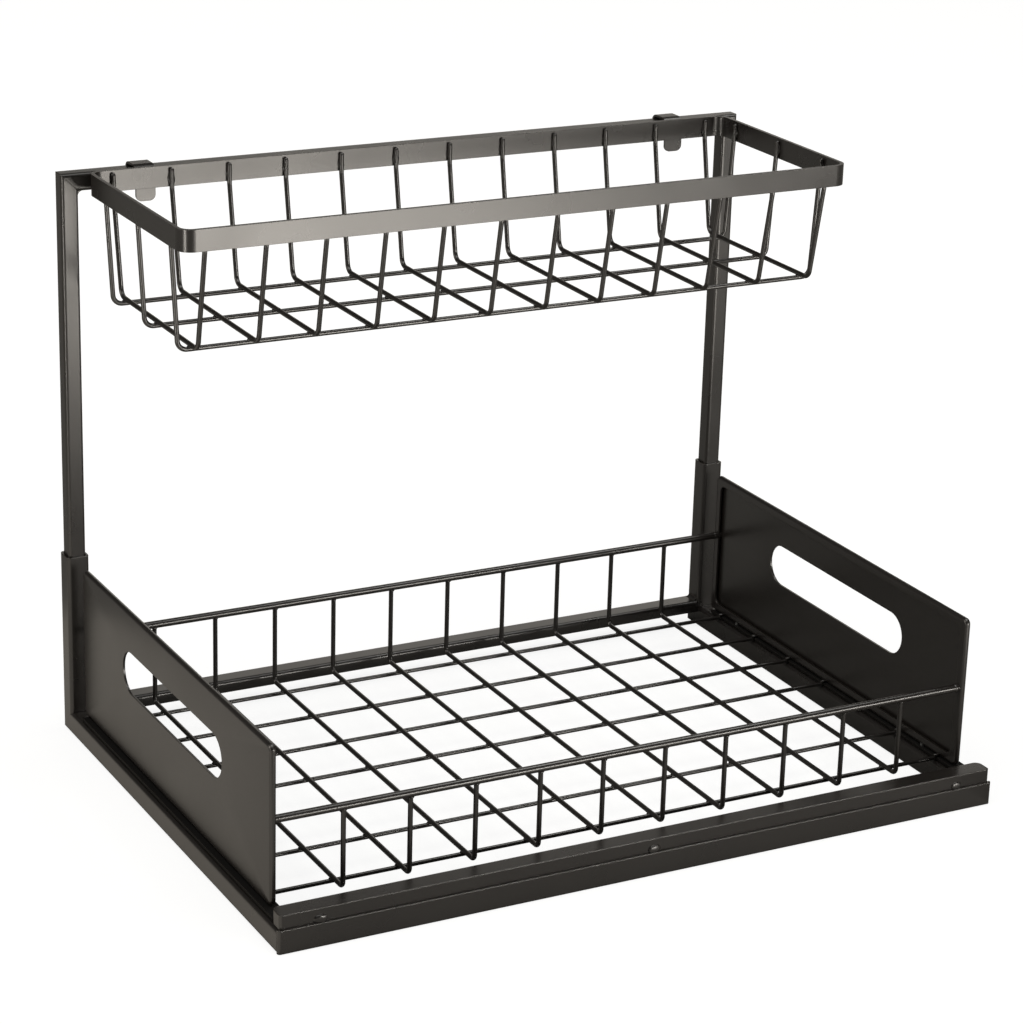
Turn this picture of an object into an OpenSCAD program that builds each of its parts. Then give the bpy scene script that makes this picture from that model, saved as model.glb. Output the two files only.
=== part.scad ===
// Pull-out cabinet basket in powder-coated steel.
// Two slotted channel rails carry a roller carriage with a wire basket, and a plug-in frame
// at the back holds a small hanging basket over it.
// The origin is at the bottom centre: +X to the right, +Y to the back, +Z up, in millimetres.
// Inside the modules Y is counted from the front plate's face and placed() centres it.

/* [Overall] */
// Width over the two side rails
frame_w = 400; // [360:1:460]
// Depth from the front plate's face to the back of the sleeves
frame_d = 288; // [280:1:330]
// Height of the top rail above the shelf
frame_h = 305; // [280:1:350]

/* [Side rails and sleeves] */
// Side of the square tube used for rails and sleeves
tube = 12; // [11.5:0.5:14]
// Wall of the square tube
tube_wall = 1.2; // [1:0.1:1.4]
// Outer corner radius of the square tube
tube_r = 2; // [1.5:0.25:2.5]
// Outer radius of the elbow where rail and sleeve meet
elbow_r = 2.5; // [1.5:0.25:2.75]
// Height of the sleeves that take the posts
sleeve_h = 100; // [80:1:120]
// Height of the rear bar's section
rear_bar_h = 7.3; // [6:0.1:9]
// Gap below the rear bar
rear_bar_z = 8; // [5:0.5:12]
// Leg of the weld fillets on the rear bar
rear_weld = 2.4; // [1.6:0.2:3]

/* [Front tie] */
// Width of the flat tie between the rails
tie_w = 20; // [16:1:26]
// Thickness of the tie
tie_t = 3; // [2.5:0.5:4]
// Distance of the tie from the front plate's face
tie_y = 14; // [8:1:30]
// Distance of a screw hole from the base's side
screw_end = 80; // [40:5:120]
// Radius of a screw hole
screw_r = 2.25; // [2:0.25:3]

/* [Front plate and bar] */
// Thickness of the front plate
plate_t = 2; // [1.5:0.25:3]
// Radius on the plate's two upright front edges
plate_r = 1.5; // [0.5:0.25:1.5]
// Height of the front bar
bar_h = 7.2; // [5:0.1:10]
// Depth of the front bar
bar_d = 10; // [8:0.5:12]
// Ledge left on the plate in front of the bar
bar_setback = 1.2; // [1:0.1:1.5]
// Gap from each end of the plate to the bar
bar_inset = 1.2; // [0.5:0.1:3]
// Plan radius of the bar's rear corners
bar_rear_r = 3.5; // [2:0.5:4]
// Plan radius of the bar's front corners
bar_front_r = 1.5; // [0.5:0.25:2]
// Length of a tack weld
tack_l = 7; // [5:0.5:9]
// Radius of a tack weld
tack_r = 1.6; // [1.4:0.1:2]
// Distance of the outer tack welds from the plate's ends
tack_end = 21.5; // [15:0.5:40]

/* [Runners and rollers] */
// Thickness of the runner's web
web_t = 2; // [1.6:0.2:2.4]
// Width of the runner's top flange
runner_w = 8; // [7:0.5:8]
// Thickness of the runner's top flange
runner_t = 1.5; // [1.25:0.25:2.5]
// Distance between the front and rear roller axles
roller_pitch = 58; // [40:1:80]
// Radius of a roller axle
axle_r = 1.5; // [1.2:0.1:1.8]
// Length of the nylon glide in the rail's mouth
glide_l = 11.6; // [8:0.2:16]
// Length of the rubber buffer at the rail's end
buffer_l = 5.6; // [4:0.2:7]
// Radius of a locating peg
peg_r = 1.2; // [1:0.1:1.4]
// Distance of the pegs from the basket panels' ends
peg_end = 30; // [18:1:32]

/* [Lower basket] */
// Height of the side panels
panel_h = 79; // [70:1:110]
// Distance from the rail's outer face to the panel's face
panel_inset = 5; // [4.5:0.25:5.5]
// Thickness of the panel's sheet
sheet = 1.2; // [0.8:0.1:1.4]
// Width of the folded edge around the panel
panel_fold = 5.6; // [5:0.2:6.6]
// Radius of the panel's four corners
panel_r = 3.2; // [2.8:0.2:9]
// Outside radius of the fold
fold_r = 2.2; // [1.8:0.1:2.8]
// Length of the hand slot
slot_l = 131; // [90:1:160]
// Height of the hand slot
slot_h = 24; // [18:1:30]
// Height of the hand slot's centre above the panel's foot
slot_z = 51; // [34:0.5:56]
// Gap between the front bar and the panels
basket_front_gap = 9.8; // [6:0.2:14]
// Gap between the panels and the sleeves
basket_back_gap = 8; // [5:0.5:12]
// Radius of the bent floor wires
wire_r = 1.25; // [1:0.05:1.6]
// Radius of the straight cross wires
cross_wire_r = 1.1; // [1:0.05:1.4]
// Bend radius of the floor wires, on the centre line
wire_bend = 3; // [2.5:0.5:10]
// Number of bent floor wires
floor_wires_n = 10; // [6:1:14]
// Distance of the first and last floor wire from the panels' outer faces
floor_wire_end = 38.5; // [20:0.5:45]
// Number of straight cross wires
cross_wires_n = 7; // [4:1:9]
// Distance of the first and last cross wire from the panels' ends
cross_wire_end = 15; // [9:0.2:17]
// Radius of the front and rear rods
rod_r = 2; // [1.6:0.1:2.6]
// Height of the front rod's centre above the panel's foot
front_rod_z = 43.5; // [30:0.5:60]
// Height of the rear rod's centre above the panel's foot
rear_rod_z = 46; // [30:0.5:60]

/* [Plug-in frame] */
// Corner radius of the frame's tube
post_r = 1.8; // [1.5:0.1:2.2]
// Leg of the weld fillets inside the frame's corners
corner_weld = 3; // [2:0.5:5]
// Height of the plug that closes a post's foot
plug_h = 13; // [10:0.5:20]
// Length of the plug's spigot inside the post
spigot_l = 10; // [6:0.5:20]

/* [Top basket] */
// Gap from the base's side to the rim
rim_inset = 13.5; // [12:0.5:40]
// Depth of the rim
rim_d = 127; // [100:1:150]
// Height of the rim's band
rim_h = 11; // [9:0.5:18]
// Thickness of the rim's band
rim_t = 2; // [1.5:0.25:3]
// Plan radius of the rim's corners
rim_r = 7.5; // [6:0.5:16]
// Height of the rim's top edge above the top rail
rim_rise = 1.6; // [0:0.2:1.8]
// Depth from the rim's top edge to the centre of the short wires
basket_drop = 62.8; // [45:0.2:90]
// Radius of the top basket's wires
top_wire_r = 1.25; // [1:0.05:1.6]
// Bend radius of the top basket's wires, on the centre line
top_bend = 5; // [4:0.5:9]
// Number of short wires from front to back
short_wires_n = 12; // [8:1:16]
// Distance of the first and last short wire from the rim's ends
short_wire_end = 13; // [11:0.2:24]
// Distance of the first long wire from the rim's front
long_front = 22; // [16:1:30]
// Pitch of the three long wires
long_pitch = 43.5; // [24:0.5:45]
// How far the short wires' feet stand in from their tops, front and back
short_taper = 9.5; // [7:0.5:12]
// How far the long wires' feet stand in from their tops, at the sides
long_taper = 3.5; // [0:0.5:6]
// Distance of the wires' tops below the rim's top edge
wire_top_gap = 2.4; // [2:0.2:4]

/* [Hook clips] */
// Width of the hook's strap
hook_w = 10.6; // [8:0.2:16]
// Thickness of the hook's strap
hook_t = 1.2; // [1:0.05:1.2]
// Inside radius of the hook's bends
hook_r = 3; // [3:0.1:4]
// Inside width of the hook over the top rail
hook_span = 12.6; // [12:0.2:15]
// Distance of a hook's centre from the base's side
hook_end = 45; // [38:1:100]
// Length of the tongue below the rim
tongue_l = 7; // [4:0.5:10]
// Length of the leg behind the top rail, from the rail's top
leg_l = 8; // [6:0.5:9]
// Radius of the tongue's and the leg's corners
tongue_r = 3.2; // [1:0.2:4]

/* [Clearances] */
// Gap between the sliding carriage and the rails' top
lift_gap = 0.4; // [0.3:0.1:0.8]
// Gap between the front plate and the shelf
floor_gap = 0.4; // [0.3:0.1:0.8]
// Gap between the front plate and the rails' ends
mouth_gap = 0.4; // [0.3:0.1:0.8]
// Gap on each side of the web in the rail's slot
slot_gap = 1; // [0.5:0.1:1.2]
// Gap of a roller to the floor and roof of the channel
roller_gap = 0.2; // [0.1:0.05:0.4]
// Gap on each side of a roller
roller_side_gap = 0.3; // [0.2:0.05:0.4]
// Radial clearance of a roller on its axle
bore_gap = 0.1; // [0.05:0.01:0.1]
// Gap of the web in the glide
glide_gap = 0.3; // [0.2:0.05:0.5]
// Gap between the runner's end and the buffer
buffer_gap = 0.4; // [0.2:0.1:1]
// Gap between the runner's top and the panels' feet
seat_gap = 0.1; // [0.05:0.01:0.3]
// Radial clearance of the pegs in the panels
peg_gap = 0.2; // [0.1:0.05:0.3]
// Gap between the cross wires and the rails' top
wire_gap = 0.3; // [0.3:0.05:0.4]
// Gap on each side of a post in its sleeve
post_gap = 0.1; // [0.05:0.01:0.15]
// Gap of a plug in its sleeve
plug_gap = 0.2; // [0.15:0.05:0.3]
// Gap between the hook's leg and the top rail
hook_gap = 0.1; // [0.05:0.01:0.1]
// Gap between the hook's crown and the top rail
crown_gap = 1; // [0.8:0.1:1.4]
// Depth that two crossing wires are pressed into each other by their weld
weld_bite = 0.3; // [0.2:0.05:0.4]
// Depth that a wire's or rod's end is sunk into what it is welded to
end_bite = 0.15; // [0.1:0.05:0.3]

/* [Hidden] */
$fn = 48;
cut = 1;
half_w = frame_w / 2;

// Channel of a side rail
bore = tube - 2 * tube_wall;
channel_x = -half_w + tube / 2;
channel_z = tube / 2;
rail_front = plate_t + mouth_gap;
slot_w = web_t + 2 * slot_gap;

// Carriage
carriage_z = tube + lift_gap;
runner_top = carriage_z + runner_t;
bar_back = bar_setback + bar_d;
runner_back_gap = 12;
runner_end = frame_d - tube - runner_back_gap;
axle_end = 6;
rear_axle_y = runner_end - axle_end;
front_axle_y = rear_axle_y - roller_pitch;
web_lift = 1.3;
web_z = tube_wall + web_lift;
roller_r = bore / 2 - roller_gap;
roller_w = (bore - web_t) / 2 - 2 * roller_side_gap;
roller_edge = 0.4;
axle_l = bore - 2 * roller_side_gap;
bead_rise = 1;
glide_r = 1;

// Lower basket
panel_x = -half_w + panel_inset;
panel_front = bar_back + basket_front_gap;
panel_back = frame_d - tube - basket_back_gap;
panel_l = panel_back - panel_front;
panel_z = runner_top + seat_gap;
peg_in = 3;
peg_x = panel_x + peg_in;
peg_ys = [panel_front + peg_end, panel_back - peg_end];
cross_z = tube + wire_gap + cross_wire_r;
floor_z = cross_z + cross_wire_r + wire_r - weld_bite;
front_rod_y = panel_front + sheet + rod_r - end_bite;
rear_rod_y = panel_back - sheet - rod_r + end_bite;

// Plug-in frame
post = bore - 2 * post_gap;
post_x = -half_w + tube_wall + post_gap;
post_y = frame_d - tube + tube_wall + post_gap;
post_bore = post - 2 * tube_wall;
plug_z = tube_wall + seat_gap;
post_foot = plug_z + plug_h;
plug_step = 0.8;
spigot_gap = 0.05;

// Top basket
rail_back = post_y + post;
hook_back = rail_back + hook_gap;
rim_back = hook_back - hook_span - hook_t;
rim_front = rim_back - rim_d;
rim_half = half_w - rim_inset;
rim_top = frame_h + rim_rise;
rim_z = rim_top - rim_h;
wire_top = rim_top - wire_top_gap;
knee_z = rim_z - 1;
short_z = rim_top - basket_drop;
long_z = short_z - 2 * top_wire_r + weld_bite;
band_in = rim_t + top_wire_r - weld_bite;

// Bent wires: how much thinner a leg is than its bends, and how far it sinks into them
leg_step = 0.01;
leg_sink = 0.3;

// Colours
coat = "#3b3733";
coat_dark = "#2c2825";
nylon = "#e4e0d4";
black_nylon = "#26262a";
rubber = "#1c1c1c";

// ---- Helpers ----

// Centres what is drawn with Y counted from the front plate's face
module placed() translate([0, -frame_d / 2, 0]) children();

// Draws a left-hand piece, or its right-hand twin
module handed(right) {
    if (right) mirror([1, 0, 0]) children();
    else children();
}

// Extrudes an XZ outline along Y
module along_y(y0, y1) translate([0, y1, 0]) rotate([90, 0, 0]) linear_extrude(y1 - y0) children();

// Extrudes a YZ outline along X
module along_x(x0, x1) translate([x0, 0, 0]) rotate([90, 0, 90]) linear_extrude(x1 - x0) children();

// Turns what is drawn in XY into the YZ plane, and what is drawn in XY into the XZ plane
module in_yz() rotate([90, 0, 90]) children();
module in_xz() rotate([90, 0, 0]) children();

// Waste of one rounded corner at the origin, for a radius r
module corner_waste(r) {
    difference() {
        translate([-cut, -cut]) square(r + cut);
        translate([r, r]) circle(r);
    }
}

// Rectangle from the origin, with one radius for its two low-Y and one for its two high-Y corners
module round_rect(w, d, r_low, r_high) {
    difference() {
        square([w, d]);
        corner_waste(r_low);
        translate([w, 0]) mirror([1, 0]) corner_waste(r_low);
        translate([0, d]) mirror([0, 1]) corner_waste(r_high);
        translate([w, d]) rotate(180) corner_waste(r_high);
    }
}

// Section of a rectangular tube, from the origin
module tube_section(w, d, r, wall) {
    difference() {
        round_rect(w, d, r, r);
        translate([wall, wall]) round_rect(w - 2 * wall, d - 2 * wall, r - wall, r - wall);
    }
}

// Concave weld fillet in the corner at the origin, with legs of length f along +X and +Y
module fillet_section(f) {
    difference() {
        square(f);
        translate([f, f]) circle(f);
    }
}

function turn(a, b) = atan2(a[0] * b[1] - a[1] * b[0], a * b);
function heading(v) = atan2(v[1], v[0]);

// Half ball below the origin
module half_ball(r) {
    rotate_extrude() intersection() {
        circle(r);
        translate([0, -r]) square(r);
    }
}

// Round bar up from the origin, with a half ball on the ends that ask for one
module round_bar(length, r, ball_start, ball_end) {
    cylinder(h = length, r = r);
    if (ball_start) half_ball(r);
    if (ball_end) translate([0, 0, length]) mirror([0, 0, 1]) half_ball(r);
}

// Round wire bent along a list of XY points, with one bend radius on its centre line.
// The straight legs are a hair thinner than the bends and sink into them a little.
module bent_wire(points, bend, r, round_ends = false) {
    last = len(points) - 1;
    legs = [for (i = [0:last - 1]) points[i + 1] - points[i]];
    turns = [for (i = [1:last - 1]) turn(legs[i - 1], legs[i])];
    setback = [for (i = [0:last]) (i == 0 || i == last) ? 0 : bend * tan(abs(turns[i - 1]) / 2) - leg_sink];
    for (i = [0:last - 1]) {
        unit = legs[i] / norm(legs[i]);
        translate(points[i] + unit * setback[i])
            rotate([0, 90, heading(unit)])
            round_bar(norm(legs[i]) - setback[i] - setback[i + 1], r - leg_step,
                round_ends && i == 0, round_ends && i == last - 1);
    }
    for (i = [1:last - 1]) {
        unit = legs[i - 1] / norm(legs[i - 1]);
        side = sign(turns[i - 1]);
        centre = points[i] - unit * (setback[i] + leg_sink) + side * bend * [-unit[1], unit[0]];
        start = heading(unit) - side * 90;
        translate(centre)
            rotate(side > 0 ? start : start - abs(turns[i - 1]))
            rotate_extrude(angle = abs(turns[i - 1])) translate([bend, 0]) circle(r);
    }
}

// ---- Base ----

// Waste beyond the 45 degree mitre between rail and sleeve, above or below it
module mitre_waste(above) {
    y = frame_d - tube - cut;
    corner = above ? [frame_d + cut, tube + cut] : [y, -cut];
    along_x(-half_w - cut, -half_w + tube + cut)
        polygon([[frame_d + cut, -cut], [y, tube + cut], corner]);
}

// Waste of the rounded elbow at the foot of a sleeve
module elbow_waste() {
    along_x(-half_w - cut, -half_w + tube + cut)
        translate([frame_d, 0]) mirror([1, 0]) corner_waste(elbow_r);
}

module side_rail() {
    difference() {
        along_y(rail_front, frame_d)
            translate([-half_w, 0]) tube_section(tube, tube, tube_r, tube_wall);
        translate([channel_x - slot_w / 2, rail_front - cut, channel_z])
            cube([slot_w, runner_end + cut - (rail_front - cut), tube]);
        mitre_waste(true);
        elbow_waste();
    }
}

module sleeve() {
    difference() {
        translate([-half_w, frame_d - tube, 0])
            linear_extrude(sleeve_h) tube_section(tube, tube, tube_r, tube_wall);
        mitre_waste(false);
        elbow_waste();
    }
}

module rail_left() color(coat) placed() side_rail();
module rail_right() color(coat) placed() handed(true) side_rail();
module sleeve_left() color(coat) placed() sleeve();
module sleeve_right() color(coat) placed() handed(true) sleeve();

module rear_bar() {
    color(coat) placed()
        along_x(-half_w + tube, half_w - tube)
        translate([frame_d - tube, rear_bar_z]) tube_section(tube, rear_bar_h, tube_r, tube_wall);
}

// Fillet beads between the rear bar's top and the sleeves
module rear_bar_welds() {
    color(coat) placed()
        for (right = [false, true]) handed(right)
            along_y(frame_d - tube + tube_r, frame_d - tube_r)
            translate([-half_w + tube, rear_bar_z + rear_bar_h]) fillet_section(rear_weld);
}

// Flat bar between the rails with the screw holes
module front_tie() {
    color(coat) placed()
        difference() {
            translate([-half_w + tube, tie_y, 0]) cube([frame_w - 2 * tube, tie_w, tie_t]);
            for (side = [-1, 1])
                translate([side * (half_w - screw_end), tie_y + tie_w / 2, -cut])
                    cylinder(h = tie_t + 2 * cut, r = screw_r);
        }
}

// Outline that fills the channel's inside
module channel_fill() {
    translate([-half_w + tube_wall, tube_wall]) round_rect(bore, bore, glide_r, glide_r);
}

// Nylon block in the rail's mouth, slotted for the web: it guides the web and stops the rollers
module glide() {
    gap_w = web_t + 2 * glide_gap;
    along_y(rail_front, rail_front + glide_l)
        difference() {
            channel_fill();
            translate([channel_x - gap_w / 2, web_z - glide_gap]) square([gap_w, tube]);
        }
}

// Rubber block that the closed carriage runs against
module buffer() {
    along_y(runner_end + buffer_gap, runner_end + buffer_gap + buffer_l) channel_fill();
}

module glide_left() color(black_nylon) placed() glide();
module glide_right() color(black_nylon) placed() handed(true) glide();
module buffer_left() color(rubber) placed() buffer();
module buffer_right() color(rubber) placed() handed(true) buffer();

// ---- Carriage ----

module front_plate() {
    color(coat) placed()
        translate([-half_w, 0, floor_gap])
        linear_extrude(carriage_z - floor_gap) round_rect(frame_w, plate_t, plate_r, 0);
}

module front_bar() {
    color(coat_dark) placed()
        translate([-half_w + bar_inset, bar_setback, carriage_z])
        linear_extrude(bar_h) round_rect(frame_w - 2 * bar_inset, bar_d, bar_front_r, bar_rear_r);
}

// Beads in the ledge between plate and bar, near both ends and in the middle
module tack_welds() {
    straight = tack_l - 2 * tack_r;
    color(coat_dark) placed()
        for (x = [-half_w + tack_end, 0, half_w - tack_end])
            intersection() {
                translate([x - straight / 2, tack_r, carriage_z + bead_rise])
                    rotate([0, 90, 0]) round_bar(straight, tack_r, true, true);
                translate([x - tack_l, 0, carriage_z]) cube([2 * tack_l, bar_setback, 2 * tack_l]);
            }
}

// Hole or pin across the web at one axle
module axle(y, length) {
    translate([channel_x - length / 2, y, channel_z]) rotate([0, 90, 0]) cylinder(h = length, r = axle_r);
}

// T-section: the flange slides over the rail and the web hangs through its slot
module runner() {
    difference() {
        union() {
            translate([channel_x - runner_w / 2, bar_back, carriage_z])
                cube([runner_w, runner_end - bar_back, runner_t]);
            translate([channel_x - web_t / 2, plate_t, web_z])
                cube([web_t, runner_end - plate_t, carriage_z - web_z]);
        }
        for (y = [front_axle_y, rear_axle_y]) axle(y, tube);
        for (y = peg_ys)
            translate([peg_x, y, carriage_z - cut]) cylinder(h = runner_t + 2 * cut, r = peg_r);
    }
}

module runner_left() color(coat) placed() runner();
module runner_right() color(coat) placed() handed(true) runner();

module roller_axles() {
    color("silver") placed()
        for (right = [false, true]) handed(right)
            for (y = [front_axle_y, rear_axle_y]) axle(y, axle_l);
}

// Pins in the runners that the basket's panels drop onto
module locating_pegs() {
    color("silver") placed()
        for (right = [false, true]) handed(right)
            for (y = peg_ys)
                translate([peg_x, y, carriage_z]) cylinder(h = panel_z + sheet - seat_gap - carriage_z, r = peg_r);
}

// Two nylon rollers on one axle, one on each side of the web
module roller_pair(y) {
    inside = axle_r + bore_gap;
    translate([channel_x, y, channel_z]) rotate([0, 90, 0])
        for (side = [0, 1]) mirror([0, 0, side])
            translate([0, 0, web_t / 2 + roller_side_gap])
            rotate_extrude() polygon([
                [inside, 0], [roller_r - roller_edge, 0], [roller_r, roller_edge],
                [roller_r, roller_w - roller_edge], [roller_r - roller_edge, roller_w], [inside, roller_w]
            ]);
}

module rollers_front_left() color(nylon) placed() roller_pair(front_axle_y);
module rollers_rear_left() color(nylon) placed() roller_pair(rear_axle_y);
module rollers_front_right() color(nylon) placed() handed(true) roller_pair(front_axle_y);
module rollers_rear_right() color(nylon) placed() handed(true) roller_pair(rear_axle_y);

// ---- Lower basket ----

// Section of the panel's edge: flat sheet to X = length, folded up to the fold's width
module fold_section(length) {
    square([length - fold_r, sheet]);
    translate([length - fold_r, fold_r]) intersection() {
        difference() {
            circle(fold_r);
            circle(fold_r - sheet);
        }
        translate([0, -fold_r]) square(fold_r);
    }
    translate([length - sheet, fold_r]) square([sheet, panel_fold - fold_r]);
}

// One quarter of the folded panel, about its centre
module panel_quarter() {
    flat_l = panel_l / 2 - panel_r;
    flat_h = panel_h / 2 - panel_r;
    cube([flat_l, flat_h, sheet]);
    along_x(0, flat_l) translate([flat_h, 0]) fold_section(panel_r);
    along_y(0, flat_h) translate([flat_l, 0]) fold_section(panel_r);
    translate([flat_l, flat_h, 0]) rotate_extrude(angle = 90) fold_section(panel_r);
}

// Pressed side panel: a sheet folded inwards all round, with a stadium hand slot
module side_panel() {
    difference() {
        translate([panel_x, panel_front + panel_l / 2, panel_z + panel_h / 2]) in_yz()
            for (u = [0, 1], v = [0, 1]) mirror([u, 0, 0]) mirror([0, v, 0]) panel_quarter();
        translate([panel_x - cut, panel_front + panel_l / 2, panel_z + slot_z]) in_yz()
            linear_extrude(sheet + 2 * cut) {
                square([slot_l - slot_h, slot_h], center = true);
                for (side = [-1, 1]) translate([side * (slot_l - slot_h) / 2, 0]) circle(slot_h / 2);
            }
        for (y = peg_ys)
            translate([peg_x, y, panel_z - cut]) cylinder(h = fold_r + cut, r = peg_r + peg_gap);
    }
}

module side_panel_left() color(coat) placed() side_panel();
module side_panel_right() color(coat) placed() handed(true) side_panel();

// Bent wires from the front rod down, along the floor and up to the rear rod
module floor_wires() {
    front_top = panel_z + front_rod_z - rod_r + end_bite;
    rear_top = panel_z + rear_rod_z - rod_r + end_bite;
    first = panel_x + floor_wire_end;
    pitch = -2 * first / (floor_wires_n - 1);
    color(coat_dark) placed()
        for (i = [0:floor_wires_n - 1])
            translate([first + i * pitch, 0, 0]) in_yz()
            bent_wire([
                [front_rod_y, front_top], [front_rod_y, floor_z],
                [rear_rod_y, floor_z], [rear_rod_y, rear_top]
            ], wire_bend, wire_r);
}

// Straight wires under the floor wires, from panel to panel
module floor_cross_wires() {
    end_x = -panel_x - panel_fold + end_bite;
    first = panel_front + cross_wire_end;
    pitch = (panel_back - cross_wire_end - first) / (cross_wires_n - 1);
    color(coat_dark) placed()
        for (i = [0:cross_wires_n - 1])
            translate([-end_x, first + i * pitch, cross_z])
            rotate([0, 90, 0]) cylinder(h = 2 * end_x, r = cross_wire_r);
}

module rod(y, z) {
    end_x = -panel_x - sheet + end_bite;
    translate([-end_x, y, z]) rotate([0, 90, 0]) cylinder(h = 2 * end_x, r = rod_r);
}

module front_rod() color(coat_dark) placed() rod(front_rod_y, panel_z + front_rod_z);
module rear_rod() color(coat_dark) placed() rod(rear_rod_y, panel_z + rear_rod_z);

// ---- Plug-in frame ----

// Waste on one side of the mitre at the frame's upper left corner
module frame_mitre_waste(outer) {
    far = post + cut;
    corner = outer ? [-cut, -far] : [far, cut];
    along_y(post_y - cut, rail_back + cut)
        translate([post_x, frame_h]) polygon([[-cut, cut], [far, -far], corner]);
}

module frame_post() {
    difference() {
        translate([post_x, post_y, post_foot])
            linear_extrude(frame_h - post_foot) tube_section(post, post, post_r, tube_wall);
        frame_mitre_waste(false);
    }
}

module post_left() color(coat) placed() frame_post();
module post_right() color(coat) placed() handed(true) frame_post();

module top_rail() {
    color(coat) placed()
        difference() {
            along_x(post_x, -post_x)
                translate([post_y, frame_h - post]) tube_section(post, post, post_r, tube_wall);
            for (right = [false, true]) handed(right) frame_mitre_waste(true);
        }
}

// Fillet beads in the two inner corners under the top rail
module corner_welds() {
    color(coat) placed()
        for (right = [false, true]) handed(right)
            along_y(post_y + post_r, rail_back - post_r)
            translate([post_x + post, frame_h - post]) mirror([0, 1]) fillet_section(corner_weld);
}

// Square prism up from the origin, centred, with rounded upright edges
module plug_prism(side, height, r) {
    linear_extrude(height) translate([-side / 2, -side / 2]) round_rect(side, side, r, r);
}

// Nylon feet of the posts: a block with a stepped foot that stands in the rail's elbow, and a
// spigot in the post
module post_plugs() {
    side = bore - 2 * plug_gap;
    color(black_nylon) placed()
        for (right = [false, true]) handed(right)
            translate([-half_w + tube / 2, frame_d - tube / 2, plug_z]) {
                plug_prism(side - 2 * plug_step, plug_step, glide_r);
                translate([0, 0, plug_step]) plug_prism(side, plug_h - plug_step, glide_r);
                plug_prism(post_bore - 2 * spigot_gap, plug_h + spigot_l, post_r - tube_wall);
            }
}

// ---- Top basket ----

module basket_rim() {
    color(coat) placed()
        translate([-rim_half, rim_front, rim_z])
        linear_extrude(rim_h) tube_section(2 * rim_half, rim_d, rim_r, rim_t);
}

// Bent wires from the rim's front, under the basket and up its back. They stand upright along
// the band and lean inwards from a knee just below it.
module basket_short_wires() {
    front = rim_front + band_in;
    back = rim_back - band_in;
    first = -rim_half + short_wire_end;
    pitch = -2 * first / (short_wires_n - 1);
    color(coat_dark) placed()
        for (i = [0:short_wires_n - 1])
            translate([first + i * pitch, 0, 0]) in_yz()
            bent_wire([
                [front, wire_top], [front, knee_z], [front + short_taper, short_z],
                [back - short_taper, short_z], [back, knee_z], [back, wire_top]
            ], top_bend, top_wire_r, true);
}

// Bent wires from side to side under the short wires
module basket_long_wires() {
    side = rim_half - band_in;
    color(coat_dark) placed()
        for (i = [0:2])
            translate([0, rim_front + long_front + i * long_pitch, 0]) in_xz()
            bent_wire([
                [-side, wire_top], [-side + long_taper, long_z],
                [side - long_taper, long_z], [side, wire_top]
            ], top_bend, top_wire_r, true);
}

// Quarter ring of the hook's bend, from +X to +Y
module hook_bend() {
    intersection() {
        difference() {
            circle(hook_r + hook_t);
            circle(hook_r);
        }
        square(hook_r + hook_t);
    }
}

// Strap bent over the top rail: a tongue welded to the rim in front and a leg behind the rail
module hook_section() {
    crown = frame_h + crown_gap;
    bend_z = crown - hook_r;
    low = rim_z - tongue_l;
    leg_low = frame_h - leg_l;
    translate([rim_back, low]) square([hook_t, bend_z - low]);
    translate([hook_back, leg_low]) square([hook_t, bend_z - leg_low]);
    translate([hook_back - hook_r, bend_z]) hook_bend();
    translate([rim_back + hook_t + hook_r, bend_z]) mirror([1, 0]) hook_bend();
    translate([rim_back + hook_t + hook_r, crown]) square([hook_span - 2 * hook_r, hook_t]);
}

module hook_clip(x) {
    low = rim_z - tongue_l;
    leg_low = frame_h - leg_l;
    top = frame_h + crown_gap + hook_t + cut;
    middle = rim_back + hook_t + hook_span / 2;
    translate([x - hook_w / 2, 0, 0])
        intersection() {
            along_x(0, hook_w) hook_section();
            union() {
                along_y(rim_back - cut, middle)
                    translate([0, low]) round_rect(hook_w, top - low, tongue_r, 0);
                along_y(middle, hook_back + hook_t + cut)
                    translate([0, leg_low]) round_rect(hook_w, top - leg_low, tongue_r, 0);
            }
        }
}

module hook_clip_left() color(coat) placed() hook_clip(-half_w + hook_end);
module hook_clip_right() color(coat) placed() hook_clip(half_w - hook_end);

rail_left();
rail_right();
sleeve_left();
sleeve_right();
rear_bar();
rear_bar_welds();
front_tie();
glide_left();
glide_right();
buffer_left();
buffer_right();
front_plate();
front_bar();
tack_welds();
runner_left();
runner_right();
roller_axles();
locating_pegs();
rollers_front_left();
rollers_rear_left();
rollers_front_right();
rollers_rear_right();
side_panel_left();
side_panel_right();
floor_wires();
floor_cross_wires();
front_rod();
rear_rod();
post_left();
post_right();
top_rail();
corner_welds();
post_plugs();
basket_rim();
basket_short_wires();
basket_long_wires();
hook_clip_left();
hook_clip_right();
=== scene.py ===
import math

import bmesh
import bpy
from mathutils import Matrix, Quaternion, Vector


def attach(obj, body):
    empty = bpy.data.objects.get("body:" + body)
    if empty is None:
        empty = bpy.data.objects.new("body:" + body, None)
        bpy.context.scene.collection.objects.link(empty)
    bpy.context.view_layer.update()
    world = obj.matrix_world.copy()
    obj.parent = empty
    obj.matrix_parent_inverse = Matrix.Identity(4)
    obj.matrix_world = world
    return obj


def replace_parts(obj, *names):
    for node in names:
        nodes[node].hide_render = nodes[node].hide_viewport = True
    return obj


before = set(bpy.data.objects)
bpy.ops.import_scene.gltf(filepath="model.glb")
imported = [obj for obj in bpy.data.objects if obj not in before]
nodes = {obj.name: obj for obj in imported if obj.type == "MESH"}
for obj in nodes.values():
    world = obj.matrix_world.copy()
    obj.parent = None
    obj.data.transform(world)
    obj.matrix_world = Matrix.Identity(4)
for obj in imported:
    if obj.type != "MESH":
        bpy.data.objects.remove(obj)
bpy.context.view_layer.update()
scene = bpy.context.scene
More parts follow.
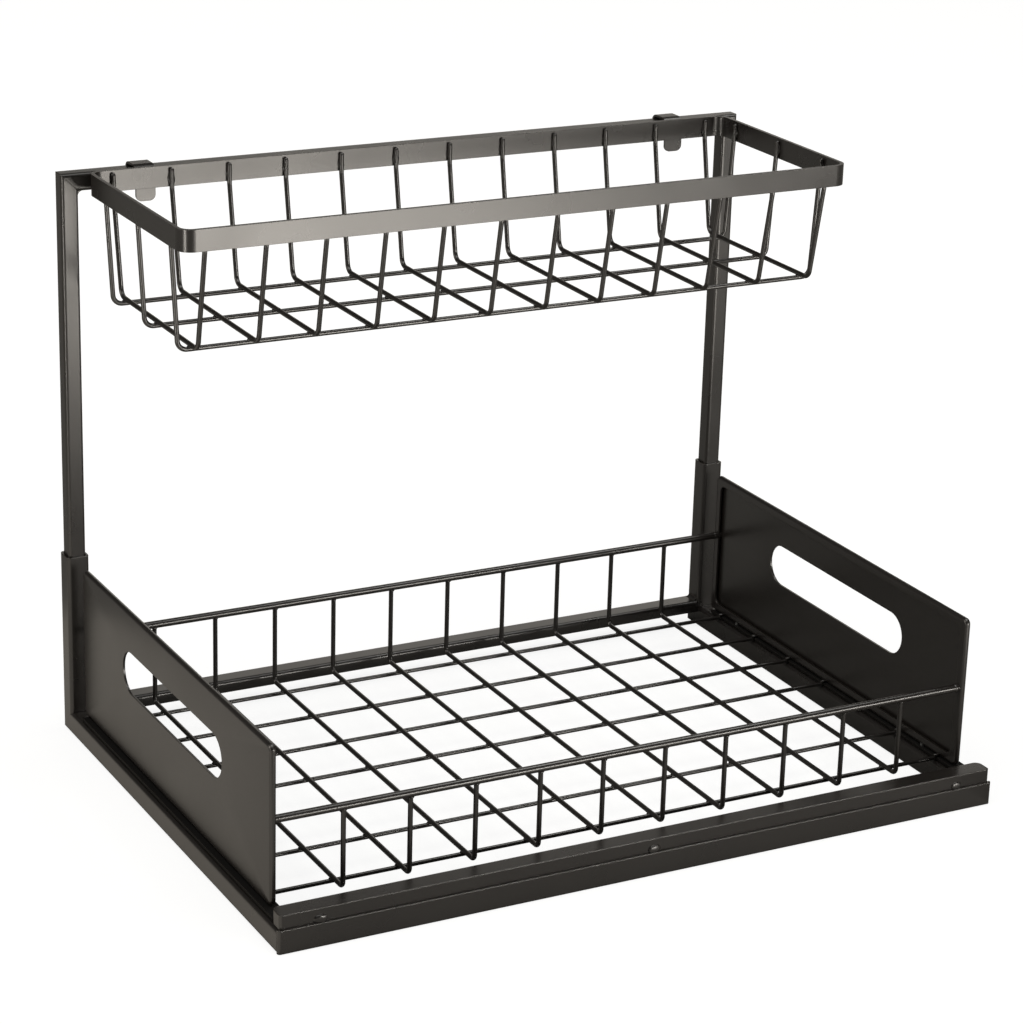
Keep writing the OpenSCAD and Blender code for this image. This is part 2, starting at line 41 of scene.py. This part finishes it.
scene.view_settings.view_transform = "Standard"


# ---------------------------------------------------------------- studio
# Pale matt paper under the unit, with low bounce cards lying in front of it and at its left, and
# softboxes in front, at the left and above. Behind it stand one card and dark flags. The camera is
# at the front left, with a long lens and a slight roll.

def linear(hex_colour):
    """sRGB hex string to a linear RGBA tuple."""
    channels = [int(hex_colour[i:i + 2], 16) / 255 for i in (1, 3, 5)]
    return tuple(c / 12.92 if c <= 0.04045 else ((c + 0.055) / 1.055) ** 2.4
                 for c in channels) + (1.0,)


def add_node(tree, kind, settings=None, inputs=None, links=None):
    """Adds a node, sets its properties and input values, and links its inputs to other outputs."""
    new = tree.nodes.new(kind)
    for name, value in (settings or {}).items():
        setattr(new, name, value)
    for name, value in (inputs or {}).items():
        new.inputs[name].default_value = value
    for name, output in (links or {}).items():
        tree.links.new(output, new.inputs[name])
    return new


camera_place = Vector((-0.7099, -1.3148, 0.6763))
camera_azimuth = math.radians(28.098)
camera_elevation = math.radians(19.707)
camera_roll = math.radians(1.653)
camera_lens, camera_sensor = 109.01, 36
nearest, farthest = 0.05, 60

view_line = Vector((
    math.sin(camera_azimuth) * math.cos(camera_elevation),
    math.cos(camera_azimuth) * math.cos(camera_elevation),
    -math.sin(camera_elevation),
))
camera = bpy.data.objects.new("camera", bpy.data.cameras.new("camera"))
scene.collection.objects.link(camera)
camera.data.lens = camera_lens
camera.data.sensor_width = camera_sensor
camera.data.clip_start = nearest
camera.data.clip_end = farthest
camera.location = camera_place
camera.rotation_mode = "QUATERNION"
camera.rotation_quaternion = (
    view_line.to_track_quat("-Z", "Y") @ Quaternion((0, 0, 1), camera_roll)
)
scene.camera = camera


def area_lamp(name, place, target, size, watts, colour, turn=0):
    """A soft lamp that the camera doesn't see, aimed at a target and turned about the vertical."""
    lamp = bpy.data.lights.new(name, "AREA")
    lamp.shape = "RECTANGLE"
    lamp.size, lamp.size_y = size
    lamp.energy = watts
    lamp.color = linear(colour)[:3]
    rig = bpy.data.objects.new(name, lamp)
    scene.collection.objects.link(rig)
    rig.location = place
    rig.rotation_mode = "QUATERNION"
    aim = (Vector(target) - Vector(place)).to_track_quat("-Z", "Y")
    rig.rotation_quaternion = Quaternion((0, 0, 1), math.radians(turn)) @ aim
    rig.visible_camera = False


for name, (x, y, z), size, watts, colour, turn in (
    ("front_bounce_card", (0.275, -1.15, 0.01), (0.44, 1.30), 10.2, "#fff8ee", 0),
    ("left_bounce_card", (-0.40, 0.0, 0.0005), (0.399, 0.60), 0.21, "#fff4e4", 0),
    ("sill_bounce_card", (-0.10, -0.30, 0.0005), (0.60, 0.311), 0.043, "#fff6ea", 0),
    ("corner_bounce_strip", (-0.93, -0.413, 0.01), (0.42, 0.11), 3.2, "#fff8ee", 29),
):
    area_lamp(name, (x, y, z), (x, y, 1), size, watts, colour, turn)

for name, place, target, size, watts, colour in (
    ("front_softbox", (1.1, -2.2, 0.3), (0, 0, 0.15), (1.3, 0.26), 16, "#fffaf2"),
    ("back_card", (0.60, 1.05, 0.32), (0.1, -0.1, 0.05), (1.0, 0.55), 1.2, "#fff9ef"),
    ("left_softbox", (-2.4, 0.5, 1.1), (-0.2, 0.1, 0.1), (1.6, 1.4), 16, "#fff6ea"),
    ("overhead_strip", (0.97, 0.0, 1.97), (0, 0, 0.1), (1.0, 0.4), 5, "#fffdf8"),
    ("high_softbox", (-0.3, -0.4, 2.8), (0, 0, 0), (2.0, 1.8), 20, "#fffdf8"),
):
    area_lamp(name, place, target, size, watts, colour)

white_light = (1, 1, 1, 1)
world = bpy.data.worlds.new("studio")
scene.world = world
world.use_nodes = True
tree = world.node_tree
tree.nodes.clear()
path = add_node(tree, "ShaderNodeLightPath")
fill = add_node(tree, "ShaderNodeBackground",
                inputs={"Color": linear("#f4f4f2"), "Strength": 0.4})
flags = add_node(tree, "ShaderNodeBackground",
                 inputs={"Color": linear("#f4f1ec"), "Strength": 0.04})
seen = add_node(tree, "ShaderNodeBackground", inputs={"Color": white_light, "Strength": 1.0})
lit = add_node(tree, "ShaderNodeMixShader",
               links={0: path.outputs["Is Glossy Ray"], 1: fill.outputs[0], 2: flags.outputs[0]})
mixed = add_node(tree, "ShaderNodeMixShader",
                 links={0: path.outputs["Is Camera Ray"], 1: lit.outputs[0], 2: seen.outputs[0]})
add_node(tree, "ShaderNodeOutputWorld", links={"Surface": mixed.outputs[0]})


def new_material(name):
    """An empty node material, with its tree."""
    material = bpy.data.materials.new(name)
    material.use_nodes = True
    material.node_tree.nodes.clear()
    return material, material.node_tree


def floor_paper():
    """Matt studio paper: white with a soft shadow to the camera, grey in the coat's reflections."""
    material, tree = new_material("matt_studio_paper")
    path = add_node(tree, "ShaderNodeLightPath")
    white = add_node(tree, "ShaderNodeBsdfDiffuse",
                     inputs={"Color": linear("#f2f2f0"), "Roughness": 1.0})
    grey = add_node(tree, "ShaderNodeBsdfDiffuse",
                    inputs={"Color": linear("#8e8c88"), "Roughness": 1.0})
    glow = add_node(tree, "ShaderNodeEmission", inputs={"Color": white_light, "Strength": 1.2})
    glow_share = 0.7
    lifted = add_node(tree, "ShaderNodeMixShader", inputs={0: glow_share},
                      links={1: white.outputs[0], 2: glow.outputs[0]})
    shown = add_node(tree, "ShaderNodeMixShader",
                     links={0: path.outputs["Is Camera Ray"],
                            1: grey.outputs[0], 2: lifted.outputs[0]})
    add_node(tree, "ShaderNodeOutputMaterial", links={"Surface": shown.outputs[0]})
    return material


half = 6.0
floor_mesh = bpy.data.meshes.new("floor")
floor_mesh.from_pydata([(-half, -half, 0), (half, -half, 0), (half, half, 0), (-half, half, 0)],
                       [], [(0, 1, 2, 3)])
floor = bpy.data.objects.new("floor", floor_mesh)
scene.collection.objects.link(floor)
floor_mesh.materials.append(floor_paper())


# ---------------------------------------------------------------- rails, sleeves and rear bar
# Square steel tube, cut, mitred and welded, then powder coated in a near-black satin with a
# faint bronze warmth. The coat has a soft orange peel and rounds off every sheared edge.

noise_span = {"From Min": 0.3, "From Max": 0.7}   # where most of a noise's values lie
colour_a, colour_b, colour_out = 6, 7, 2          # the colour sockets of a Mix node


def coat_material(name, roughness, edge_mm, dark="#1b1816", warm="#211d1a", ior=1.95):
    """Powder coat: cloudy warm black, orange peel, grain, and every sharp edge painted paler as a
    painted highlight.

    The IOR is above a clear lacquer's 1.5, for the satin's strong highlights."""
    clouds_mm, peel_mm, grain_mm = 45, 1.6, 0.3
    grain_share, relief_depth = 0.35, 0.00003
    material, tree = new_material(name)
    place = add_node(tree, "ShaderNodeTexCoord")
    clouds = add_node(tree, "ShaderNodeTexNoise",
                      inputs={"Scale": 1000 / clouds_mm, "Detail": 3.0},
                      links={"Vector": place.outputs["Object"]})
    tone = add_node(tree, "ShaderNodeMix", {"data_type": "RGBA"},
                    {colour_a: linear(dark), colour_b: linear(warm)},
                    {"Factor": clouds.outputs["Fac"]})
    edge = add_node(tree, "ShaderNodeBevel", {"samples": 6}, {"Radius": edge_mm / 1000})
    face = add_node(tree, "ShaderNodeNewGeometry")
    facing = add_node(tree, "ShaderNodeVectorMath", {"operation": "DOT_PRODUCT"},
                      links={0: edge.outputs["Normal"], 1: face.outputs["Normal"]})
    # Painted highlight: where the rounded shading normal turns away from the face's own normal, the
    # base colour is mixed towards a pale warm grey. This paints light lines along sharp edges,
    # hollow ones as well as convex ones.
    edge_highlight_mask = add_node(tree, "ShaderNodeMapRange",
                      inputs={"From Min": 0.97, "From Max": 0.75, "To Min": 0.0, "To Max": 0.45},
                      links={"Value": facing.outputs["Value"]})
    highlit_edge_tone = add_node(tree, "ShaderNodeMix", {"data_type": "RGBA"}, {colour_b: linear("#575047")},
                    {"Factor": edge_highlight_mask.outputs[0], colour_a: tone.outputs[colour_out]})
    gloss = add_node(tree, "ShaderNodeMapRange",
                     inputs={**noise_span,
                             "To Min": roughness - 0.02, "To Max": roughness + 0.03},
                     links={"Value": clouds.outputs["Fac"]})
    peel = add_node(tree, "ShaderNodeTexNoise", inputs={"Scale": 1000 / peel_mm, "Detail": 1.0},
                    links={"Vector": place.outputs["Object"]})
    grain = add_node(tree, "ShaderNodeTexNoise", inputs={"Scale": 1000 / grain_mm, "Detail": 2.0},
                     links={"Vector": place.outputs["Object"]})
    relief = add_node(tree, "ShaderNodeMath", {"operation": "MULTIPLY_ADD"}, {1: grain_share},
                      {0: grain.outputs["Fac"], 2: peel.outputs["Fac"]})
    bump = add_node(tree, "ShaderNodeBump", inputs={"Strength": 0.2, "Distance": relief_depth},
                    links={"Height": relief.outputs[0], "Normal": edge.outputs["Normal"]})
    shader = add_node(tree, "ShaderNodeBsdfPrincipled", inputs={"IOR": ior, "Metallic": 0.0},
                      links={"Base Color": highlit_edge_tone.outputs[colour_out],
                             "Roughness": gloss.outputs[0], "Normal": bump.outputs[0]})
    add_node(tree, "ShaderNodeOutputMaterial", links={"Surface": shader.outputs[0]})
    return material


def finish_nodes(material, *names):
    """Gives CAD nodes their material."""
    for name in names:
        mesh = nodes[name].data
        mesh.materials.clear()
        mesh.materials.append(material)


tube_coat = coat_material("satin_black_powder_coat_on_tube", roughness=0.28, edge_mm=0.5)
finish_nodes(tube_coat, "rail_left", "rail_right", "sleeve_left", "sleeve_right",
             "rear_bar", "rear_bar_welds", "front_tie")


# ---------------------------------------------------------------- glides, plugs and buffers
# Small hidden mouldings: black nylon glides in the rails' mouths and plugs in the posts' feet,
# and rubber buffers at the rails' inner ends.

def moulded_material(name, colour, roughness, ior, grain_mm):
    """Moulded plastic or rubber: dull, with a fine spark-eroded grain and soft edges."""
    edge_mm, grain_depth = 0.3, 0.00005
    material, tree = new_material(name)
    place = add_node(tree, "ShaderNodeTexCoord")
    grain = add_node(tree, "ShaderNodeTexNoise", inputs={"Scale": 1000 / grain_mm, "Detail": 3.0},
                     links={"Vector": place.outputs["Object"]})
    edge = add_node(tree, "ShaderNodeBevel", {"samples": 4}, {"Radius": edge_mm / 1000})
    bump = add_node(tree, "ShaderNodeBump", inputs={"Strength": 0.3, "Distance": grain_depth},
                    links={"Height": grain.outputs["Fac"], "Normal": edge.outputs["Normal"]})
    gloss = add_node(tree, "ShaderNodeMapRange",
                     inputs={**noise_span,
                             "To Min": roughness - 0.05, "To Max": roughness + 0.05},
                     links={"Value": grain.outputs["Fac"]})
    shader = add_node(tree, "ShaderNodeBsdfPrincipled",
                      inputs={"Base Color": linear(colour), "IOR": ior},
                      links={"Roughness": gloss.outputs[0], "Normal": bump.outputs[0]})
    add_node(tree, "ShaderNodeOutputMaterial", links={"Surface": shader.outputs[0]})
    return material


black_nylon = moulded_material("moulded_black_nylon", "#242427",
                               roughness=0.5, ior=1.53, grain_mm=0.8)
finish_nodes(black_nylon, "glide_left", "glide_right", "post_plugs")

buffer_rubber = moulded_material("moulded_black_rubber", "#1b1b1b",
                                 roughness=0.75, ior=1.52, grain_mm=1.0)
finish_nodes(buffer_rubber, "buffer_left", "buffer_right")


# ---------------------------------------------------------------- carriage
# A sheared steel strip on edge with a flat bar tacked on top of it, and the two runners behind.
# The strip and the bar carry the same powder coat as the tube. The hidden runners carry a matt copy
# of it whose black is painted darker, as painted shade in the gap under the panels.

plate_coat = coat_material("satin_black_powder_coat_on_strip", roughness=0.28, edge_mm=0.8)
finish_nodes(plate_coat, "front_plate", "front_bar")

# Painted shade: the runners' black is darker and duller than the tube's, so the gap between the
# panels and the rails reads as shadow.
runner_coat_darkened_as_shade = coat_material("matt_black_coat_on_runner_darkened_as_shade", roughness=0.8, edge_mm=0.3,
                            dark="#0e0d0c", warm="#12100f", ior=1.35)
finish_nodes(runner_coat_darkened_as_shade, "runner_left", "runner_right")


def nugget_group():
    """Geometry Nodes group: one uneven bead of weld metal on every point, then made real."""
    tilt = 0.12                                 # radians, about each axis
    thinnest, fattest = 0.88, 1.1               # of the given size
    lump_mm, lump_height = 0.9, 0.0001
    float_min, float_max, float_out = 2, 3, 1   # the float sockets of a Random Value node
    group = bpy.data.node_groups.new("weld_nuggets", "GeometryNodeTree")
    for name, direction, kind in (
        ("Geometry", "INPUT", "NodeSocketGeometry"),
        ("Size", "INPUT", "NodeSocketVector"),
        ("Seed", "INPUT", "NodeSocketInt"),
        ("Material", "INPUT", "NodeSocketMaterial"),
        ("Geometry", "OUTPUT", "NodeSocketGeometry"),
    ):
        group.interface.new_socket(name=name, in_out=direction, socket_type=kind)
    given = add_node(group, "NodeGroupInput")
    bead = add_node(group, "GeometryNodeMeshIcoSphere", inputs={"Radius": 1.0, "Subdivisions": 3})
    turn = add_node(group, "FunctionNodeRandomValue", {"data_type": "FLOAT_VECTOR"},
                    {"Min": (-tilt, -tilt, -tilt), "Max": (tilt, tilt, tilt)},
                    {"Seed": given.outputs["Seed"]})
    swell = add_node(group, "FunctionNodeRandomValue", {"data_type": "FLOAT"},
                     {float_min: thinnest, float_max: fattest}, {"Seed": given.outputs["Seed"]})
    size = add_node(group, "ShaderNodeVectorMath", {"operation": "SCALE"},
                    links={0: given.outputs["Size"], "Scale": swell.outputs[float_out]})
    spread = add_node(group, "GeometryNodeInstanceOnPoints",
                      links={"Points": given.outputs["Geometry"],
                             "Instance": bead.outputs["Mesh"],
                             "Rotation": turn.outputs[0], "Scale": size.outputs[0]})
    real = add_node(group, "GeometryNodeRealizeInstances", links={"Geometry": spread.outputs[0]})
    lumps = add_node(group, "ShaderNodeTexNoise", inputs={"Scale": 1000 / lump_mm, "Detail": 1.0})
    outward = add_node(group, "GeometryNodeInputNormal")
    height = add_node(group, "ShaderNodeMapRange",
                      inputs={**noise_span, "To Min": -lump_height, "To Max": lump_height},
                      links={"Value": lumps.outputs["Fac"]})
    shift = add_node(group, "ShaderNodeVectorMath", {"operation": "SCALE"},
                     links={0: outward.outputs[0], "Scale": height.outputs[0]})
    rough = add_node(group, "GeometryNodeSetPosition",
                     links={"Geometry": real.outputs[0], "Offset": shift.outputs[0]})
    smooth = add_node(group, "GeometryNodeSetShadeSmooth", links={"Geometry": rough.outputs[0]})
    coated = add_node(group, "GeometryNodeSetMaterial",
                      links={"Geometry": smooth.outputs[0],
                             "Material": given.outputs["Material"]})
    add_node(group, "NodeGroupOutput", links={"Geometry": coated.outputs[0]})
    return group


weld_group = nugget_group()


def metres(place_mm):
    """A place or a size given in millimetres."""
    return [value / 1000 for value in place_mm]


def weld_nuggets(name, body, coat, places_mm, size_mm, seed):
    """Beads at the given places, turned into one plain mesh that rides on a body."""
    points = bpy.data.meshes.new(name + "_points")
    points.from_pydata([metres(place) for place in places_mm], [], [])
    maker = bpy.data.objects.new(name + "_maker", points)
    scene.collection.objects.link(maker)
    change = maker.modifiers.new("nuggets", "NODES")
    change.node_group = weld_group
    values = {"Size": metres(size_mm), "Seed": seed, "Material": coat}
    for item in weld_group.interface.items_tree:
        if item.in_out == "INPUT" and item.name in values:
            change[item.identifier] = values[item.name]
    graph = bpy.context.evaluated_depsgraph_get()
    mesh = bpy.data.meshes.new_from_object(maker.evaluated_get(graph))
    mesh.name = name
    bpy.data.objects.remove(maker)
    piece = bpy.data.objects.new(name, mesh)
    scene.collection.objects.link(piece)
    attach(piece, body)
    return piece


tack_x, tack_y, tack_z = 178.5, -142.8, 13.9
tacks = weld_nuggets("tack_beads", "carriage", plate_coat,
                     [(x, tack_y, tack_z) for x in (-tack_x, 0, tack_x)], (3.5, 0.95, 2.4), 21)
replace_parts(tacks, "tack_welds")


# ---------------------------------------------------------------- rollers, axles and pegs
# Natural nylon rollers on turned steel pins with bright zinc plating. They sit inside the rails
# and show only in the slots and from the rails' ends.

roller_nylon = moulded_material("moulded_natural_nylon", "#e3dfd2",
                                roughness=0.42, ior=1.53, grain_mm=0.8)
finish_nodes(roller_nylon, "rollers_front_left", "rollers_rear_left",
             "rollers_front_right", "rollers_rear_right")


def zinc_material(name, ring_mm):
    """Bright zinc on turned steel: fine rings round the pin, and a faint blue cast."""
    ring_depth = 0.00002
    material, tree = new_material(name)
    place = add_node(tree, "ShaderNodeTexCoord")
    rings = add_node(tree, "ShaderNodeTexWave", {"wave_type": "BANDS", "bands_direction": "X"},
                     {"Scale": 1000 / ring_mm, "Distortion": 0.4},
                     {"Vector": place.outputs["Object"]})
    bump = add_node(tree, "ShaderNodeBump", inputs={"Strength": 0.15, "Distance": ring_depth},
                    links={"Height": rings.outputs["Fac"]})
    shader = add_node(tree, "ShaderNodeBsdfPrincipled",
                      inputs={"Base Color": linear("#c9cbcc"), "Metallic": 1.0, "Roughness": 0.3},
                      links={"Normal": bump.outputs[0]})
    add_node(tree, "ShaderNodeOutputMaterial", links={"Surface": shader.outputs[0]})
    return material


pin_zinc = zinc_material("bright_zinc_on_turned_steel", ring_mm=0.6)
finish_nodes(pin_zinc, "roller_axles", "locating_pegs")


# ---------------------------------------------------------------- lower basket panels
# Two side panels pressed from thin sheet. Their edge is folded inwards all round and back as a
# narrow lip, and a long slot in each takes four fingers. All sizes are in mm.

panel_coat = coat_material("satin_black_powder_coat_on_sheet", roughness=0.30, edge_mm=0.5)

panel_y, panel_z = (-123, 124), (14, 96)
panel_face_x, panel_corner, panel_sheet = 195, 3.2, 1.2
tightest_corner = 0.4
fold_depth, fold_radius = 3.4, 1.7
lip_width, lip_corner = 4.8, 4.5
slot_y, slot_z = (-65, 66), (52, 75)
corner_steps, fold_steps = 10, 4
crease_angle = 40


def arc(centre, radius, start, turn, steps):
    """Points of an arc in the YZ plane, with its angles in degrees."""
    points = []
    for step in range(steps + 1):
        angle = math.radians(start + turn * step / steps)
        points.append((centre[0] + radius * math.cos(angle),
                       centre[1] + radius * math.sin(angle)))
    return points


def panel_loop(radius, inset=0):
    """Points of the panel's rounded outline, moved inwards by the inset."""
    y0, y1 = panel_y[0] + inset + radius, panel_y[1] - inset - radius
    z0, z1 = panel_z[0] + inset + radius, panel_z[1] - inset - radius
    loop = []
    for quarter, centre in enumerate(((y1, z1), (y0, z1), (y0, z0), (y1, z0))):
        loop += arc(centre, radius, 90 * quarter, 90, corner_steps)
    return loop


def slot_loop():
    """Points of the slot's two half circles, as many as the panel's outline has."""
    radius = (slot_z[1] - slot_z[0]) / 2
    middle_z = slot_z[0] + radius
    steps = 2 * corner_steps + 1
    loop = (arc((slot_y[1] - radius, middle_z), radius, -90, 180, steps)
            + arc((slot_y[0] + radius, middle_z), radius, 90, 180, steps))
    first = corner_steps + 1
    return loop[first:] + loop[:first]


def pressed_panel(name, side):
    """A closed shell of rings: from the slot over the face, fold and lip, and back inside."""
    def edge(inset):
        return panel_loop(max(panel_corner - inset, tightest_corner), inset)

    slot = slot_loop()
    lip_edge = panel_loop(lip_corner, lip_width)
    lip_x = panel_face_x - fold_depth
    fold_angles = [math.radians(90 * step / fold_steps) for step in range(fold_steps + 1)]
    rings = [(panel_face_x, slot)]
    for angle in fold_angles:
        rings.append((panel_face_x - fold_radius * (1 - math.cos(angle)),
                      edge(fold_radius * (1 - math.sin(angle)))))
    for angle in fold_angles[1:]:
        rings.append((lip_x + fold_radius * (1 - math.sin(angle)),
                      edge(fold_radius * (1 - math.cos(angle)))))
    rings += [
        (lip_x, lip_edge),
        (lip_x + panel_sheet, lip_edge),
        (lip_x + panel_sheet, edge(panel_sheet)),
        (panel_face_x - panel_sheet, edge(panel_sheet)),
        (panel_face_x - panel_sheet, slot),
    ]
    form = bmesh.new()
    rings = [[form.verts.new(metres((side * x, y, z))) for y, z in loop] for x, loop in rings]
    count = len(slot)
    for ring, following in zip(rings, rings[1:] + rings[:1]):
        for k in range(count):
            after = (k + 1) % count
            form.faces.new((ring[k], ring[after], following[after], following[k]))
    bmesh.ops.recalc_face_normals(form, faces=form.faces)
    mesh = bpy.data.meshes.new(name)
    form.to_mesh(mesh)
    form.free()
    mesh.shade_smooth()
    mesh.set_sharp_from_angle(angle=math.radians(crease_angle))
    mesh.materials.append(panel_coat)
    piece = bpy.data.objects.new(name, mesh)
    scene.collection.objects.link(piece)
    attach(piece, "lower_basket")
    return piece


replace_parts(pressed_panel("pressed_panel_left", -1), "side_panel_left")
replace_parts(pressed_panel("pressed_panel_right", 1), "side_panel_right")


# ---------------------------------------------------------------- lower basket wires
# Drawn wire, bent up to two heavier rods and crossed by straight wires. All of them are
# resistance welded where they touch, which leaves small uneven beads, and coated afterwards.

wire_coat = coat_material("satin_black_powder_coat_on_wire", roughness=0.28, edge_mm=0.2)
finish_nodes(wire_coat, "floor_wires", "floor_cross_wires", "front_rod", "rear_rod")


def evenly(first, span, count):
    """Places of so many wires, evenly spread over a span in mm."""
    return [first + span * i / (count - 1) for i in range(count)]


sides = (-1, 1)
floor_x = evenly(-156.5, 313, 10)
cross_y = evenly(-108, 217, 7)
crossing_z = 14.35
front_rod_y, rear_rod_y = -119.95, 120.95
under_front_rod, under_rear_rod = 55.7, 58.2
front_rod_z, rear_rod_z = 57.5, 60
cross_wire_end = (190.4, 15.0)
rod_end_x = 190.2

for name, places, size, seed in (
    ("floor_crossing_welds",
     [(x, y, crossing_z) for x in floor_x for y in cross_y], (1.75, 1.75, 0.75), 3),
    ("rod_to_wire_welds",
     [(x, front_rod_y, under_front_rod) for x in floor_x]
     + [(x, rear_rod_y, under_rear_rod) for x in floor_x], (1.7, 1.65, 0.8), 5),
    ("cross_wire_end_welds",
     [(side * cross_wire_end[0], y, cross_wire_end[1]) for side in sides for y in cross_y],
     (1.7, 1.2, 0.75), 7),
    ("rod_end_welds",
     [(side * rod_end_x, y, z) for side in sides
      for y, z in ((front_rod_y, front_rod_z), (rear_rod_y, rear_rod_z))], (2.0, 2.1, 2.1), 9),
):
    weld_nuggets(name, "lower_basket", wire_coat, places, size, seed)


# ---------------------------------------------------------------- plug-in frame
# Two posts and a top rail of slightly thinner square tube, mitred and welded, that drop into
# the sleeves.

finish_nodes(tube_coat, "post_left", "post_right", "top_rail", "corner_welds")


# ---------------------------------------------------------------- top basket
# A flat band bent to a rounded rectangle with bent wires welded inside it, and two straps that
# hook over the top rail.

band_coat = coat_material("satin_black_powder_coat_on_band", roughness=0.28, edge_mm=0.3)
finish_nodes(band_coat, "basket_rim", "hook_clip_left", "hook_clip_right")
finish_nodes(wire_coat, "basket_short_wires", "basket_long_wires")

short_x = evenly(-173.5, 347, 12)
long_y = (24, 67.5, 111)
basket_crossing_z = 242.7
inside_rim_y = (4.35, 126.65)
inside_rim_x = 184.15
short_weld_z, long_weld_z = 299.6, 300.4

for name, places, size, seed in (
    ("basket_crossing_welds",
     [(x, y, basket_crossing_z) for x in short_x for y in long_y], (1.75, 1.75, 0.7), 11),
    ("rim_short_wire_welds",
     [(x, y, short_weld_z) for x in short_x for y in inside_rim_y], (1.75, 0.7, 3.4), 13),
    ("rim_long_wire_welds",
     [(side * inside_rim_x, y, long_weld_z) for side in sides for y in long_y],
     (0.7, 1.75, 3.0), 15),
):
    weld_nuggets(name, "top_basket", wire_coat, places, size, seed)
